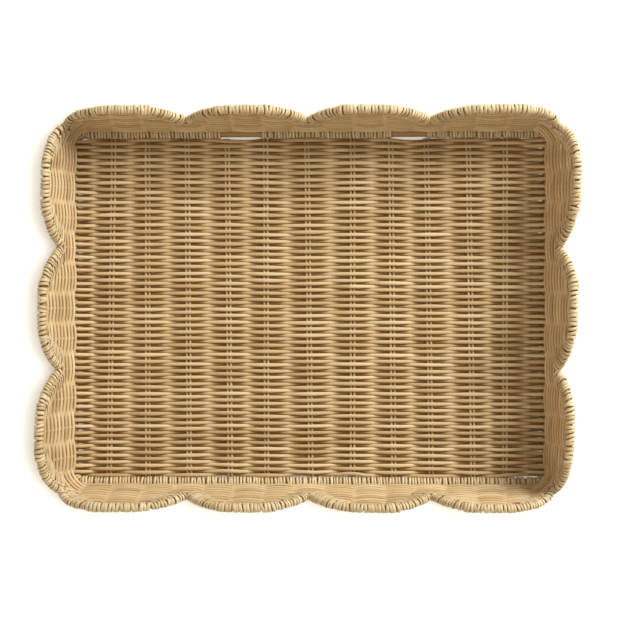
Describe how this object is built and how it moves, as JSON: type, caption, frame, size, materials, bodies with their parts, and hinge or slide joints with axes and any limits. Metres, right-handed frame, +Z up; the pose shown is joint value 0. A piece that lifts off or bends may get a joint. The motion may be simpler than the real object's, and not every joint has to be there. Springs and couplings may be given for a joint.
{
  "type": "rattan serving tray",
  "caption": "Rectangular hand-woven rattan serving tray with flared woven walls and a scalloped, cane-bound rim.",
  "frame": {"origin": "middle of the underside, on the surface that the tray stands on", "axes": "+X along the long side, +Y along the short side towards the back, +Z up"},
  "size_m": [0.5004, 0.3774, 0.076],
  "materials": {
    "cane": "satin",
    "split_cane": "satin",
    "stake_reed": "matte",
    "woven_reed": "matte"
  },
  "bodies": {
    "root": {"base_hoop": "cane", "hoop_binding_front": "split_cane", "hoop_binding_back": "split_cane", "floor_stake_pair_1": "stake_reed", "floor_stake_pair_2": "stake_reed", "floor_stake_pair_3": "stake_reed", "floor_stake_pair_4": "stake_reed", "floor_stake_pair_5": "stake_reed", "floor_stake_pair_6": "stake_reed", "floor_stake_pair_7": "stake_reed", "floor_stake_pair_8": "stake_reed", "floor_stake_pair_9": "stake_reed", "floor_stake_pair_10": "stake_reed", "floor_stake_pair_11": "stake_reed", "floor_weavers_a": "woven_reed", "floor_weavers_b": "woven_reed", "wall_stakes_front": "stake_reed", "wall_stakes_right": "stake_reed", "wall_stakes_back": "stake_reed", "wall_stakes_left": "stake_reed", "corner_posts": "stake_reed", "wall_weave_front": "woven_reed", "wall_weave_right": "woven_reed", "wall_weave_back": "woven_reed", "wall_weave_left": "woven_reed", "rim_arch_front_1": "cane", "rim_arch_front_2": "cane", "rim_arch_front_3": "cane", "rim_arch_front_4": "cane", "rim_arch_right_1": "cane", "rim_arch_right_2": "cane", "rim_arch_right_3": "cane", "rim_arch_back_1": "cane", "rim_arch_back_2": "cane", "rim_arch_back_3": "cane", "rim_arch_back_4": "cane", "rim_arch_left_1": "cane", "rim_arch_left_2": "cane", "rim_arch_left_3": "cane", "rim_binding_front_1": "split_cane", "rim_binding_front_2": "split_cane", "rim_binding_front_3": "split_cane", "rim_binding_front_4": "split_cane", "rim_binding_right_1": "split_cane", "rim_binding_right_2": "split_cane", "rim_binding_right_3": "split_cane", "rim_binding_back_1": "split_cane", "rim_binding_back_2": "split_cane", "rim_binding_back_3": "split_cane", "rim_binding_back_4": "split_cane", "rim_binding_left_1": "split_cane", "rim_binding_left_2": "split_cane", "rim_binding_left_3": "split_cane"}
  },
  "joints": []
}
